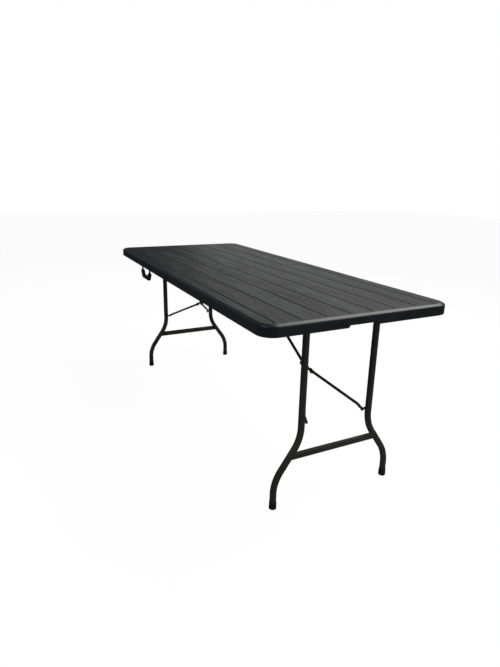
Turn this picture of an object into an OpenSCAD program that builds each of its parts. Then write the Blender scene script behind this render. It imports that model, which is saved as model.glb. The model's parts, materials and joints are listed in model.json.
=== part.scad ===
// Fold-in-half banquet table with two folding leg frames.
// Millimetres, +Z up. The origin is on the floor under the middle of the top.
// +X points to the right half, -Y to the front long side, where the handle is.
// Every sub-part of a half is drawn on the right (+X) side and mirrored for the left.

/* [Table top] */
// Overall length of the open table
table_length = 1830; // [1700:1:2300]
// Overall width of the top
table_width = 762; // [620:1:920]
// Height of the top's surface above the floor
table_height = 740; // [600:1:780]
// Depth of the rim, from the surface down
rim_depth = 41; // [41:0.5:60]
// Thickness of the double-walled plate
plate_t = 11; // [9:0.5:14]
// Width of the hollow rim
rim_w = 18; // [16:0.5:26]
// Radius of the two outer corners in plan
corner_r = 56; // [30:1:90]
// Thickness of the moulded skins around the hollow
skin_t = 2.5; // [1.5:0.1:3]
// Gap between the two halves at the seam
seam_gap = 1; // [0.6:0.1:2]

/* [End notch] */
// Width of the finger notch under each end of the rim
notch_w = 124; // [60:1:160]
// Height of the notch
notch_h = 9; // [4:0.5:12]
// Distance of the notch's middle from the centre line
notch_y = -8; // [-40:1:40]

/* [Centre hinge] */
// Half of the distance between the two pins of a hinge link
hinge_half = 10; // [8:0.5:11]
// Radius of the hinge rivets
hinge_pin_r = 3; // [2:0.1:4]
// Half of the height of a hinge link
link_r = 7; // [5.5:0.1:7.5]
// Thickness of a hinge link
link_t = 3; // [2:0.1:5]

/* [Side rails] */
// Thickness of the flat steel side rails
rail_t = 2; // [1.5:0.1:3]
// Number of screws in a rail
screw_count = 5; // [3:1:8]
// Width of the cross tie that carries the brace
tie_w = 30; // [20:1:34]

/* [Leg frames] */
// Distance from the end of the top to the leg frame
leg_inset = 123; // [90:1:180]
// Diameter of the leg tubes
leg_d = 25; // [20:0.5:26]
// Wall of every steel tube
tube_wall = 1.2; // [0.8:0.1:2]
// Half of the distance between the legs above the bend
leg_half_top = 151; // [110:1:200]
// Half of the distance between the feet
leg_half_foot = 257; // [210:1:300]
// Height at which the legs start to bend outwards
bend_z = 305; // [290:1:330]
// Radius of the bends in the legs
bend_r = 150; // [100:1:160]
// Angle of the bends in the legs
bend_angle = 35; // [30:1:45]
// Diameter of the crossbar that the frame turns on
crossbar_d = 19; // [14:0.5:20]
// Height of the stretcher's middle above the floor
stretcher_z = 200; // [170:1:230]
// Height of the stretcher's flat-oval section
stretcher_h = 28; // [20:0.5:32]
// Thickness of the stretcher's flat-oval section
stretcher_t = 13; // [8:0.5:13]
// Length of the foot caps
foot_h = 28; // [20:1:40]
// Wall of the foot caps
foot_wall = 1.7; // [1.2:0.1:1.7]
// Thickness of the foot caps' soles
foot_sole = 3; // [2:0.5:6]

/* [Braces] */
// Distance from the seam to the pivot of the strut
strut_x = 68; // [62:0.5:90]
// Height at which the brace meets the legs
brace_z = 319; // [312:0.5:350]
// Diameter of the strut tube
strut_d = 12; // [9:0.5:12]
// Diameter of the bent brace rods
rod_d = 11.5; // [8:0.5:12]
// Straight end of a brace rod beside the leg
rod_end = 22; // [18:1:45]
// Radius of the pins in the braces
brace_pin_r = 3; // [2:0.1:3.5]
// Length of the locking sleeve
sleeve_len = 18; // [12:1:22]

/* [Carry handle] */
// Distance from the seam to the middle of the handle
handle_x = 400; // [250:1:600]
// Distance between the handle's arms
handle_span = 132; // [110:1:160]
// Drop from the handle's pivot to the middle of the grip
handle_drop = 56; // [48:1:70]
// Diameter of the grip
grip_d = 22; // [16:0.5:23]
// Diameter of the handle's arms
handle_arm_d = 8; // [6:0.5:9]

/* [Hidden] */
$fn = 48;

// Clearances
run = 0.05;        // radial clearance of a turning fit
side = 0.5;        // gap beside a turning piece
over = 1;          // how far a cutter reaches past a face

// Top
half_l = table_length / 2;
half_w = table_width / 2;
rim_z = table_height - rim_depth;
ceiling_z = table_height - plate_t;
inner_w = half_w - rim_w;

// Centre hinge: the two rims meet with the seam gap between them when the table is shut
hinge_z = rim_z + hinge_half - seam_gap / 2;
seam_wall_t = 8;
blow_hole = [half_l * 0.6, half_w * 0.52, ceiling_z - skin_t / 2];
blow_hole_r = 4;
seam_wall_half = inner_w - 23;
rivet_head_r = 5.5;
rivet_head_t = 2;

// Side rails
rail_z0 = rim_z + 1.5;
tie_t = 2.2;
rail_z1 = ceiling_z - tie_t;
rail_end_r = 8;
link_y = inner_w - rail_t - side - link_t;
screw_r = 2.5;
screw_head_r = 4.5;
screw_head_t = 2.5;
screw_len = 12;
screw_z = (rail_z0 + rail_z1) / 2;
screw_first_x = strut_x + 22;

// Leg frames: the feet, the widest pieces, stow between the plate and the rim's edge
leg_x = half_l - leg_inset;
leg_r = leg_d / 2;
foot_r = leg_r + foot_wall;
pivot_z = rim_z + foot_r + 0.8;
leg_top = pivot_z + 7;
crossbar_r = crossbar_d / 2;
bush_r = crossbar_r + 1.6;
bush_flange_r = bush_r + 2.4;
bush_len = 8;
bend_drop = bend_r * (1 - cos(bend_angle));
diagonal = (leg_half_foot - leg_half_top - 2 * bend_drop) / sin(bend_angle);
bend_z_low = bend_z - 2 * bend_r * sin(bend_angle) - diagonal * cos(bend_angle);
trim = 0.2;
bend_trim = trim / bend_r * 180 / PI;
collar_len = 3;
swage = 0.2;
stretcher_x = leg_x + leg_r - stretcher_t / 2;
clip_x = leg_x - pivot_z + foot_h + 12;
clip_len = 18;
clip_t = 3;
clip_gap = 0.3;
clip_drop = 21;

// Brace: strut pivot D, leg pin B and knuckle K lie on one line when the legs are out.
// Lengths follow from the folded frame, where the rods lie back along the strut.
strut_r = strut_d / 2;
strut_z = pivot_z + stretcher_t - leg_r + 1 + strut_r + 1;
channel_half = 20;
channel_z = strut_z + 12.5;
brace_lead = 7;
brace_x = leg_x - brace_lead;
folded_x = leg_x - (pivot_z - brace_z);
folded_z = pivot_z + brace_lead;
brace_len = norm([brace_x - strut_x, strut_z - brace_z]);
folded_len = norm([folded_x - strut_x, strut_z - folded_z]);
strut_len = (brace_len + folded_len) / 2;
rod_len = (brace_len - folded_len) / 2;
brace_tilt = atan2(strut_z - brace_z, brace_x - strut_x);
strut_eye_half = strut_r - 0.3;
ear_t = 3;
ear_y = strut_r + side;
ear_r = 7;
knuckle_t = 3;
knuckle_y = strut_r + 0.4;
knuckle_r = 6.5;
knuckle_len = 36;
tail_len = 12;
tail_h = 3.5;
rod_r = rod_d / 2;
rod_start = 30;
rod_swell = 0.4;     // how much fatter a rod is at its bend
rod_lap = 1.2;       // how far the two stretches of a rod overlap in the bend
rod_start_y = knuckle_y + rod_r + 0.3;
eye_r = 7.5;
eye_t = 7;
stud_r = 4;
stud_face = leg_half_top - leg_r - 8;
eye_y = stud_face - side - eye_t;
rod_end_y = eye_y + eye_t - rod_r - 0.6;
root_from = 24;
root_len = 14;
root_half_h = 8;
root_out_y = rod_start_y + rod_r - 1;
pin_head_t = 2;
pin_head_r = 4.5;
drain_r = 1.5;
sleeve_from = 5;
sleeve_t = 1.6;
sleeve_half_y = knuckle_y + knuckle_t + 0.8;
sleeve_half_h = 8.3;

// Carry handle, in the front rim of the left half
handle_y = -(half_w - 11.5);
handle_z = rim_z + 6;
handle_pin_r = 3;
handle_pin_len = 20;
handle_eye_r = 5.5;
handle_arm_r = handle_arm_d / 2;
grip_r = grip_d / 2;
grip_half = handle_span / 2 - 18;
slot_w = handle_arm_d + 2;
handle_block = handle_span / 2 + 20;

// Colours
moulded = [0.10, 0.10, 0.11];
coated_steel = [0.20, 0.20, 0.19];
zinc = [0.62, 0.63, 0.64];
dark_plastic = [0.05, 0.05, 0.05];

// ---------------------------------------------------------------- helpers

// Draws its children on the right side, or mirrored to the left side
module on_side(left) {
  if (left) mirror([1, 0, 0]) children();
  else children();
}

// Cylinder along Y from y0 to y1
module bar_y(x, z, r, y0, y1) {
  translate([x, y1, z]) rotate([90, 0, 0]) cylinder(r = r, h = y1 - y0);
}

// Straight round rod between two points
module rod(p, q, r) {
  d = q - p;
  translate(p)
    rotate([0, acos(d.z / norm(d)), atan2(d.y, d.x)])
      cylinder(r = r, h = norm(d));
}

// Drawing plane for a leg: its X is the table's Y and its Y is the table's Z
module leg_plane() {
  translate([leg_x, 0, 0]) rotate([90, 0, 90]) children();
}

// Frame of the brace: origin at the strut's pivot, X along the strut to the knuckle
module brace_frame() {
  translate([strut_x, 0, strut_z]) rotate([0, brace_tilt, 0]) children();
}

// ---------------------------------------------------------------- top panels

// Plan of one half, drawn in by inset on all sides; seam is its edge beside the seam
module half_plan(inset, seam) {
  r = corner_r - inset;
  w = half_w - inset;
  end = half_l - inset;
  translate([seam, -w]) square([end - r - seam, 2 * w]);
  translate([end - r, -(w - r)]) square([r, 2 * (w - r)]);
  for (s = [-1, 1]) translate([end - r, s * (w - r)]) circle(r = r, $fn = 96);
}

module slab(inset, seam, z0, z1) {
  translate([0, 0, z0]) linear_extrude(z1 - z0) half_plan(inset, seam);
}

// Open space under the plate, inside the rim
module stowage_space() {
  slab(rim_w, -over, rim_z - over, ceiling_z);
  translate([strut_x - 15, -channel_half, ceiling_z - over])
    cube([strut_len + 30, 2 * channel_half, channel_z - ceiling_z + over]);
}

// Wall that stiffens the plate along the seam
module seam_wall() {
  translate([seam_gap / 2, -seam_wall_half, hinge_z + 1])
    cube([seam_wall_t, 2 * seam_wall_half, ceiling_z - hinge_z]);
}

// Hollow between the skins, with pillars where the two skins are tied together
module sealed_hollow(left) {
  hollow_seam = hinge_half + 4;
  pillar_x = [for (i = [0:7]) 90 + i * (half_l - 160) / 7];
  pillar_y = [for (j = [-3:3]) j * (inner_w - 30) / 3.5];
  difference() {
    slab(skin_t, hollow_seam, ceiling_z + skin_t, table_height - skin_t);
    translate([hollow_seam - over, -channel_half - skin_t, ceiling_z])
      cube([strut_x + strut_len + 20 + skin_t, 2 * (channel_half + skin_t), plate_t]);
    for (x = pillar_x, y = pillar_y)
      translate([x, y, ceiling_z]) cylinder(r = 8, h = plate_t);
  }
  difference() {
    slab(skin_t, hollow_seam, rim_z + skin_t, ceiling_z + skin_t + 1);
    slab(rim_w - skin_t, 0, rim_z, ceiling_z + skin_t + 2);
    translate([half_l - rim_w, notch_y - notch_w / 2 - skin_t, rim_z])
      cube([rim_w, notch_w + 2 * skin_t, notch_h + skin_t]);
    for (x = screw_places(), s = [-1, 1])
      translate([x - 6, s * (half_w - rim_w / 2) - rim_w / 2, rim_z])
        cube([12, rim_w, rim_depth]);
    if (left)
      translate([handle_x - handle_block, -half_w, rim_z])
        cube([2 * handle_block, rim_w, rim_depth]);
  }
}

// Rounded lower corners of the long rims at the seam, so the halves roll past each other
module seam_relief() {
  r = hinge_half - seam_gap / 2;
  difference() {
    translate([-over, -half_w - over, rim_z - over])
      cube([hinge_half + over, table_width + 2 * over, r + over]);
    bar_y(hinge_half, hinge_z, r, -half_w - 2 * over, half_w + 2 * over);
  }
}

module end_notch() {
  translate([half_l - rim_w - over, notch_y - notch_w / 2, rim_z - over])
    cube([rim_w + 2 * over, notch_w, notch_h + over]);
}

// Slots and pin holes of the handle in the front rim
module handle_seat() {
  for (s = [-1, 1]) {
    x = handle_x + s * handle_span / 2;
    translate([x - slot_w / 2, -half_w - over, rim_z - over])
      cube([slot_w, rim_w + over, handle_z + handle_eye_r + over - rim_z + over]);
    translate([x - handle_pin_len / 2, handle_y, handle_z])
      rotate([0, 90, 0]) cylinder(r = handle_pin_r, h = handle_pin_len);
  }
}

module top_panel(left) {
  on_side(left) color(moulded) {
    difference() {
      slab(0, seam_gap / 2, rim_z, table_height);
      stowage_space();
      sealed_hollow(left);
      seam_relief();
      end_notch();
      screw_shanks();
      translate(blow_hole) cylinder(r = blow_hole_r, h = 2 * skin_t);
      if (left) handle_seat();
    }
    seam_wall();
  }
}

// ---------------------------------------------------------------- rails and fixings

function screw_places() =
  [for (i = [0:screw_count - 1])
    screw_first_x + i * (leg_x - 45 - screw_first_x) / (screw_count - 1)];

module screw_shanks() {
  for (x = screw_places(), s = [-1, 1])
    if (s > 0) bar_y(x, screw_z, screw_r, inner_w - rail_t, inner_w - rail_t + screw_len);
    else bar_y(x, screw_z, screw_r, -inner_w + rail_t - screw_len, -inner_w + rail_t);
}

module rail_screws(left) {
  on_side(left) color(zinc) {
    screw_shanks();
    for (x = screw_places(), s = [-1, 1])
      translate([x, s * (inner_w - rail_t - screw_head_t / 2), screw_z])
        rotate([90, 0, 0]) cylinder(r = screw_head_r, h = screw_head_t, center = true);
  }
}

// Flat rail on edge; it carries the crossbar bush and one pin of the centre hinge
module rail(left, s) {
  y0 = s > 0 ? inner_w - rail_t : -inner_w;
  end = leg_x + bush_flange_r + 4;
  on_side(left) color(coated_steel) difference() {
    union() {
      translate([hinge_half, y0, rail_z0])
        cube([end - hinge_half, rail_t, rail_z1 - rail_z0]);
      bar_y(hinge_half, hinge_z, rail_end_r, y0, y0 + rail_t);
    }
    bar_y(hinge_half, hinge_z, hinge_pin_r, y0 - over, y0 + rail_t + over);
    bar_y(leg_x, pivot_z, bush_r, y0 - over, y0 + rail_t + over);
    for (x = screw_places()) bar_y(x, screw_z, screw_r, y0 - over, y0 + rail_t + over);
  }
}

module cross_tie(left) {
  on_side(left) color(coated_steel)
    translate([strut_x - 12 - tie_w, -inner_w, rail_z1]) cube([tie_w, 2 * inner_w, tie_t]);
}

module strut_bracket(left) {
  ear_x = strut_x - 12 - tie_w + 2;
  on_side(left) color(coated_steel) for (s = [-1, 1]) {
    y0 = s > 0 ? ear_y : -ear_y - ear_t;
    difference() {
      union() {
        translate([ear_x, y0, strut_z - ear_r])
          cube([strut_x - 12 - ear_x, ear_t, rail_z1 - strut_z + ear_r]);
        translate([strut_x - 12, y0, strut_z - ear_r]) cube([12, ear_t, ear_r * 1.6]);
        bar_y(strut_x, strut_z, ear_r, y0, y0 + ear_t);
      }
      bar_y(strut_x, strut_z, brace_pin_r, y0 - over, y0 + ear_t + over);
    }
  }
}

// Pin with a head at each end, along Y
module headed_pin(x, z, half_len) {
  bar_y(x, z, brace_pin_r, -half_len, half_len);
  bar_y(x, z, pin_head_r, half_len, half_len + pin_head_t);
  bar_y(x, z, pin_head_r, -half_len - pin_head_t, -half_len);
}

module strut_pin(left) {
  on_side(left) color(zinc) headed_pin(strut_x, strut_z, ear_y + ear_t);
}

// Flanged plastic bushes, pressed into the rails, in which the crossbar turns
module crossbar_bushes(left) {
  on_side(left) color(dark_plastic) for (m = [0, 1]) mirror([0, m, 0]) difference() {
    union() {
      bar_y(leg_x, pivot_z, bush_r, inner_w - bush_len, inner_w);
      bar_y(leg_x, pivot_z, bush_flange_r, inner_w - rail_t - 2, inner_w - rail_t);
    }
    bar_y(leg_x, pivot_z, crossbar_r + run, inner_w - bush_len - over, inner_w + over);
  }
}

// Clips under the plate that hold the stowed legs by their ends
module leg_clips(left) {
  r = leg_r + clip_gap;
  on_side(left) color(dark_plastic) for (s = [-1, 1])
    translate([clip_x, s * leg_half_foot, 0]) difference() {
      translate([0, -r - clip_t, ceiling_z - clip_drop])
        cube([clip_len, 2 * (r + clip_t), clip_drop]);
      translate([-over, 0, pivot_z]) rotate([0, 90, 0])
        cylinder(r = r, h = clip_len + 2 * over);
      translate([-over, -r, ceiling_z - clip_drop - over])
        cube([clip_len + 2 * over, 2 * r, pivot_z - ceiling_z + clip_drop + over]);
    }
}

// ---------------------------------------------------------------- centre hinge

module hinge_rivets(left) {
  head_y = link_y - 0.3;
  on_side(left) color(zinc) for (m = [0, 1]) mirror([0, m, 0]) {
    bar_y(hinge_half, hinge_z, hinge_pin_r, head_y, inner_w);
    bar_y(hinge_half, hinge_z, rivet_head_r, head_y - rivet_head_t, head_y);
  }
}

module hinge_link(s) {
  y0 = s > 0 ? link_y : -link_y - link_t;
  color(coated_steel) difference() {
    union() {
      translate([-hinge_half, y0, hinge_z - link_r])
        cube([2 * hinge_half, link_t, 2 * link_r]);
      for (x = [-hinge_half, hinge_half]) bar_y(x, hinge_z, link_r, y0, y0 + link_t);
    }
    for (x = [-hinge_half, hinge_half])
      bar_y(x, hinge_z, hinge_pin_r + run, y0 - over, y0 + link_t + over);
  }
}

// ---------------------------------------------------------------- leg frames

module tube_section(r, wall) {
  difference() {
    circle(r = r);
    if (wall > 0) circle(r = r - wall);
  }
}

// Short swaged collar that joins two stretches of a leg tube; it lies along its plane's Y
module collar(wall) {
  rotate([90, 0, 0]) translate([0, 0, -collar_len / 2]) linear_extrude(collar_len)
    difference() {
      circle(r = leg_r + swage);
      if (wall > 0) circle(r = leg_r - wall - swage);
    }
}

// Bend of a leg about a centre, from angle a0 on, with a collar at each end
module bend(centre, a0, wall) {
  translate(centre) {
    rotate([0, 0, a0 + bend_trim]) rotate_extrude(angle = bend_angle - 2 * bend_trim)
      translate([bend_r, 0]) tube_section(leg_r, wall);
    for (a = [a0, a0 + bend_angle]) rotate([0, 0, a]) translate([bend_r, 0]) collar(wall);
  }
}

// Rear leg: straight, bent out, straight along the diagonal, and bent back to the foot
module leg_body(wall) {
  translate([leg_x, leg_half_top, bend_z + trim])
    linear_extrude(leg_top - bend_z - trim) tube_section(leg_r, wall);
  leg_plane() {
    bend([leg_half_top + bend_r, bend_z, 0], 180, wall);
    bend([leg_half_foot - bend_r, bend_z_low, 0], 0, wall);
  }
  translate([leg_x, leg_half_top + bend_drop, bend_z - bend_r * sin(bend_angle)])
    rotate([bend_angle - 180, 0, 0]) translate([0, 0, trim])
      linear_extrude(diagonal - 2 * trim) tube_section(leg_r, wall);
  translate([leg_x, leg_half_foot, foot_sole])
    linear_extrude(bend_z_low - foot_sole - trim) tube_section(leg_r, wall);
}

module leg(left, s) {
  on_side(left) mirror([0, s > 0 ? 0 : 1, 0]) color(coated_steel) difference() {
    leg_body(tube_wall);
    bar_y(leg_x, pivot_z, crossbar_r, 0, leg_half_top + leg_d);
    bar_y(brace_x, brace_z, stud_r, 0, leg_half_top);
  }
}

module crossbar(left) {
  on_side(left) color(coated_steel) difference() {
    bar_y(leg_x, pivot_z, crossbar_r, -inner_w + side, inner_w - side);
    bar_y(leg_x, pivot_z, crossbar_r - tube_wall, -inner_w, inner_w);
  }
}

module oval_bar(h, t, half_len) {
  translate([stretcher_x, half_len, stretcher_z]) rotate([90, 0, 0])
    linear_extrude(2 * half_len) {
      square([t, h - t], center = true);
      for (s = [-1, 1]) translate([0, s * (h - t) / 2]) circle(r = t / 2);
    }
}

// Flat-oval stretcher, coped to the legs
module stretcher(left) {
  reach = leg_half_top + bend_drop + 0.5 * diagonal * sin(bend_angle) + leg_r;
  on_side(left) color(coated_steel) difference() {
    oval_bar(stretcher_h, stretcher_t, reach);
    oval_bar(stretcher_h - 2 * tube_wall, stretcher_t - 2 * tube_wall, reach + over);
    for (m = [0, 1]) mirror([0, m, 0]) {
      leg_body(0);
      translate([leg_x - leg_d, leg_half_top + bend_drop + 2, stretcher_z + stretcher_h])
        rotate([-bend_angle, 0, 0])
          translate([0, 2, -2 * stretcher_h]) cube([2 * leg_d, 80, 4 * stretcher_h]);
    }
  }
}

module foot(left, s) {
  on_side(left) translate([leg_x, s * leg_half_foot, 0]) color(dark_plastic) difference() {
    cylinder(r = foot_r, h = foot_h);
    translate([0, 0, foot_sole]) cylinder(r = leg_r, h = foot_h);
  }
}

// Studs on the inner sides of the legs, where the brace rods meet them
module brace_studs(left) {
  on_side(left) color(zinc) for (m = [0, 1]) mirror([0, m, 0])
    bar_y(brace_x, brace_z, stud_r, stud_face, leg_half_top - 2);
}

// ---------------------------------------------------------------- braces

// Strut from its bracket near the seam to the knuckle
module strut(left) {
  on_side(left) color(coated_steel) brace_frame() difference() {
    union() {
      rotate([0, 90, 0]) cylinder(r = strut_r, h = strut_len);
      bar_y(0, 0, strut_r + 0.5, -strut_eye_half, strut_eye_half);
      bar_y(strut_len, 0, strut_r + 0.5, -strut_eye_half, strut_eye_half);
    }
    translate([12, 0, 0]) rotate([0, 90, 0])
      cylinder(r = strut_r - tube_wall, h = strut_len - 24);
    translate([strut_len - 18, 0, 0]) cylinder(r = drain_r, h = strut_d);
    for (x = [0, strut_len])
      bar_y(x, 0, brace_pin_r + run, -strut_r - over, strut_r + over);
  }
}

// Rear brace arm: a plate beside the strut, a forged root, and a rod that spreads to the leg
module brace_arm(left, s) {
  k = strut_len;
  b = strut_len + rod_len;
  on_side(left) mirror([0, s > 0 ? 0 : 1, 0]) color(coated_steel) brace_frame()
    difference() {
      union() {
        bar_y(k, 0, knuckle_r, knuckle_y, knuckle_y + knuckle_t);
        translate([k, knuckle_y, 1 - knuckle_r])
          cube([knuckle_len, knuckle_t, 2 * knuckle_r - 2]);
        translate([k - tail_len, knuckle_y, -tail_h])
          cube([tail_len, knuckle_t, 2 * tail_h]);
        translate([k + root_from, knuckle_y, -root_half_h])
          cube([root_len, root_out_y - knuckle_y, 2 * root_half_h]);
        rod([k + rod_start, rod_start_y, 0], [b - rod_end, rod_end_y, 0], rod_r);
        translate([b - rod_end, rod_end_y, 0]) sphere(r = rod_r + rod_swell);
        rod([b - rod_end - rod_lap, rod_end_y, 0], [b, rod_end_y, 0], rod_r);
        bar_y(b, 0, eye_r, eye_y, eye_y + eye_t);
      }
      bar_y(k, 0, brace_pin_r, knuckle_y - over, knuckle_y + knuckle_t + over);
    }
}

module knuckle_rivet(left) {
  on_side(left) color(zinc) brace_frame()
    headed_pin(strut_len, 0, knuckle_y + knuckle_t);
}

module sleeve_block(grow, from, len) {
  hy = sleeve_half_y + grow;
  hh = sleeve_half_h + grow;
  translate([from, -hy, -hh]) cube([len, 2 * hy, 2 * hh]);
}

// Sleeve on the strut that drops over the tails of the brace arms and locks the knuckle
module lock_sleeve(left) {
  from = strut_len - sleeve_from - sleeve_len;
  on_side(left) color(dark_plastic) brace_frame() difference() {
    sleeve_block(sleeve_t, from, sleeve_len);
    sleeve_block(0, from - over, sleeve_len + 2 * over);
  }
}

// ---------------------------------------------------------------- carry handle

module carry_handle() {
  on_side(true) translate([handle_x, handle_y, handle_z]) color(dark_plastic) {
    elbow_z = -handle_drop / 2;
    difference() {
      union() {
        for (s = [-1, 1]) {
          x = s * handle_span / 2;
          translate([x - handle_arm_r, 0, 0]) rotate([0, 90, 0])
            cylinder(r = handle_eye_r, h = handle_arm_d);
          rod([x, 0, 0], [x, 0, elbow_z], handle_arm_r);
          translate([x, 0, elbow_z]) sphere(r = handle_arm_r + 0.2);
          rod([x, 0, elbow_z], [s * grip_half, 0, -handle_drop], handle_arm_r);
        }
        rod([-grip_half, 0, -handle_drop], [grip_half, 0, -handle_drop], grip_r);
        for (s = [-1, 1]) translate([s * grip_half, 0, -handle_drop]) sphere(r = grip_r - 0.5);
      }
      for (s = [-1, 1])
        translate([s * handle_span / 2 - handle_arm_d, 0, 0]) rotate([0, 90, 0])
          cylinder(r = handle_pin_r + run, h = 2 * handle_arm_d);
    }
  }
}

module handle_pins() {
  on_side(true) color(zinc) for (s = [-1, 1])
    translate([handle_x + s * handle_span / 2 - handle_pin_len / 2, handle_y, handle_z])
      rotate([0, 90, 0]) cylinder(r = handle_pin_r, h = handle_pin_len);
}

// ---------------------------------------------------------------- the table

for (left = [false, true]) {
  name = left ? "left_" : "right_";
  top_panel(left);
  rail(left, -1);
  rail(left, 1);
  rail_screws(left);
  cross_tie(left);
  strut_bracket(left);
  strut_pin(left);
  crossbar_bushes(left);
  leg_clips(left);
  hinge_rivets(left);
  leg(left, -1);
  leg(left, 1);
  crossbar(left);
  stretcher(left);
  foot(left, -1);
  foot(left, 1);
  brace_studs(left);
  strut(left);
  brace_arm(left, -1);
  brace_arm(left, 1);
  knuckle_rivet(left);
  lock_sleeve(left);
}
hinge_link(-1);  // front_hinge_link
hinge_link(1);  // rear_hinge_link
carry_handle();
handle_pins();
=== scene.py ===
"""Looks of a fold-in-half banquet table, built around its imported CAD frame.

Lengths are in metres, +Z is up, and the origin lies on the floor under the middle of the top.
The pieces of a half are drawn on the right (+X) side and mirrored for the left.
"""

import json
import math

import bmesh
import bpy
from bpy.props import FloatProperty, FloatVectorProperty, IntProperty, PointerProperty
from mathutils import Matrix, Vector


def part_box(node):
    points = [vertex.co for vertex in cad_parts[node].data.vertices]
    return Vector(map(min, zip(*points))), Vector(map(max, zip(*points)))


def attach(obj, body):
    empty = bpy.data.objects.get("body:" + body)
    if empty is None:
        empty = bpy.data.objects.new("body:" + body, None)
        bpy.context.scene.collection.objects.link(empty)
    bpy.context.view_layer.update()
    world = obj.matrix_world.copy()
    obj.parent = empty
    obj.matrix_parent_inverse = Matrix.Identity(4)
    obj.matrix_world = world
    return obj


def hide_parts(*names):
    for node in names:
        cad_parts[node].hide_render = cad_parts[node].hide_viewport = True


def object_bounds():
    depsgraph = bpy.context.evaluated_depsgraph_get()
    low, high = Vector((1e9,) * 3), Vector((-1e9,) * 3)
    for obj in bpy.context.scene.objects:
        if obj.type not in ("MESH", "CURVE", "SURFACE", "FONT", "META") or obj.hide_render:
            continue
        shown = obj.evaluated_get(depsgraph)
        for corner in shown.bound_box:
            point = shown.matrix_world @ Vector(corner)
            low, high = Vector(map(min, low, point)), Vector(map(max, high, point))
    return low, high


bl_info = {
    "name": "Folding banquet table",
    "version": (1, 0, 0),
    "blender": (4, 5, 0),
    "location": "View3D > Sidebar > Table",
    "description": "Builds the moulded top, tubular legs, braces and handle of a folding table",
    "category": "Object",
}

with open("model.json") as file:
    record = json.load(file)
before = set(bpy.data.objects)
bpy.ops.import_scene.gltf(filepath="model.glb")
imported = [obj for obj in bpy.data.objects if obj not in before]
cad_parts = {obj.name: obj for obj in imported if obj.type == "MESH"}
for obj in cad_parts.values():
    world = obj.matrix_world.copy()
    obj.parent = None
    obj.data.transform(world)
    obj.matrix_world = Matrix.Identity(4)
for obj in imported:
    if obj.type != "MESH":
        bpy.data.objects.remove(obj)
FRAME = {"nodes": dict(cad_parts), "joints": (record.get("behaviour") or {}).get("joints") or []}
CAD_LOW, CAD_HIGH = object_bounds()

MM = 0.001
SIDES = ("right", "left")
ENDS = ("front", "rear")
UP = Vector((0, 0, 1))
ALONG = Vector((1, 0, 0))
ACROSS = Vector((0, 1, 0))
SMOOTH_LIMIT = math.radians(33)


def joint(name):
    """The record's joint of that name."""
    return next(j for j in FRAME["joints"] if j["name"] == name)


def box_middle(node):
    """Middle of a CAD node's box."""
    low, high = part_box(node)
    return (low + high) / 2


def length_prop(name, description, default, low=0.0):
    """A named length in metres, from a lowest value."""
    return FloatProperty(
        name=name, description=description, default=default, min=low, precision=5, unit="LENGTH"
    )


def angle_prop(name, description, degrees):
    """A named angle, given in degrees."""
    return FloatProperty(
        name=name, description=description, default=math.radians(degrees), subtype="ANGLE"
    )


def colour_prop(name, description, default):
    """A named linear colour."""
    return FloatVectorProperty(
        name=name, description=description, default=default, size=4, min=0, max=1, subtype="COLOR"
    )


def number_prop(name, description, default, high):
    """A named plain number from 0 to a highest value."""
    return FloatProperty(name=name, description=description, default=default, min=0, max=high)


# ------------------------------------------------------------------ sizes and colours


class TableTopSizes(bpy.types.PropertyGroup):
    """Moulded top: plan, edges, planks and underside."""

    half_length: length_prop("Half length", "Seam to the end of the top", CAD_HIGH.x)
    half_width: length_prop("Half width", "Middle to the long edge of the top", CAD_HIGH.y)
    height: length_prop("Height", "Height of the surface above the floor", CAD_HIGH.z)
    rim_low: length_prop("Rim bottom", "Height of the rim's lower edge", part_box("right_top_panel")[0].z)
    plate: length_prop("Plate", "Thickness of the plate inside the rim", 11 * MM)
    rim_width: length_prop("Rim width", "Width of the hollow rim", 18 * MM)
    corner: length_prop("Corner radius", "Radius of the outer corners in plan", 56 * MM)
    edge_tilt: angle_prop("Edge slope", "Slope of the bevel round the top, from level", 28)
    edge_slope: length_prop("Bevel width", "Width of the bevel's flat stretch", 9 * MM)
    edge_round: length_prop("Bevel rounds", "Radius of the rounds on both sides of the bevel", 5.5 * MM)
    seam_round: length_prop("Seam round", "Round of the top edge at the seam", 1.2 * MM)
    foot_round: length_prop("Lower round", "Round of the rim's lower edges", 3 * MM)
    groove_pitch: length_prop("Plank width", "Distance between two grooves", 93 * MM)
    groove_shift: length_prop("Groove shift", "Distance of the groove pattern from the middle", 4 * MM)
    groove_count: IntProperty(name="Grooves", description="Number of grooves", default=8, min=0)
    groove_half: length_prop("Groove half width", "Half of a groove's width at the surface", 3.1 * MM)
    groove_depth: length_prop("Groove depth", "Depth of a groove", 3 * MM)
    groove_end: length_prop("Groove end", "Distance from the end of the top to a groove", 19 * MM)
    notch_width: length_prop("Notch width", "Width of the finger notch at half its height", 130 * MM)
    notch_height: length_prop("Notch height", "Height of the finger notch", 9 * MM)
    notch_middle: length_prop("Notch place", "Distance of the notch from the middle", -8 * MM, -1.0)
    notch_slope: length_prop("Notch slope", "How much the notch widens below and narrows above", 5 * MM)
    dimple_depth: length_prop("Dimple depth", "Depth of the moulded dimples underneath", 5 * MM)
    dimple_radius: length_prop("Dimple radius", "Radius of a dimple at its mouth", 13 * MM)


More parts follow.
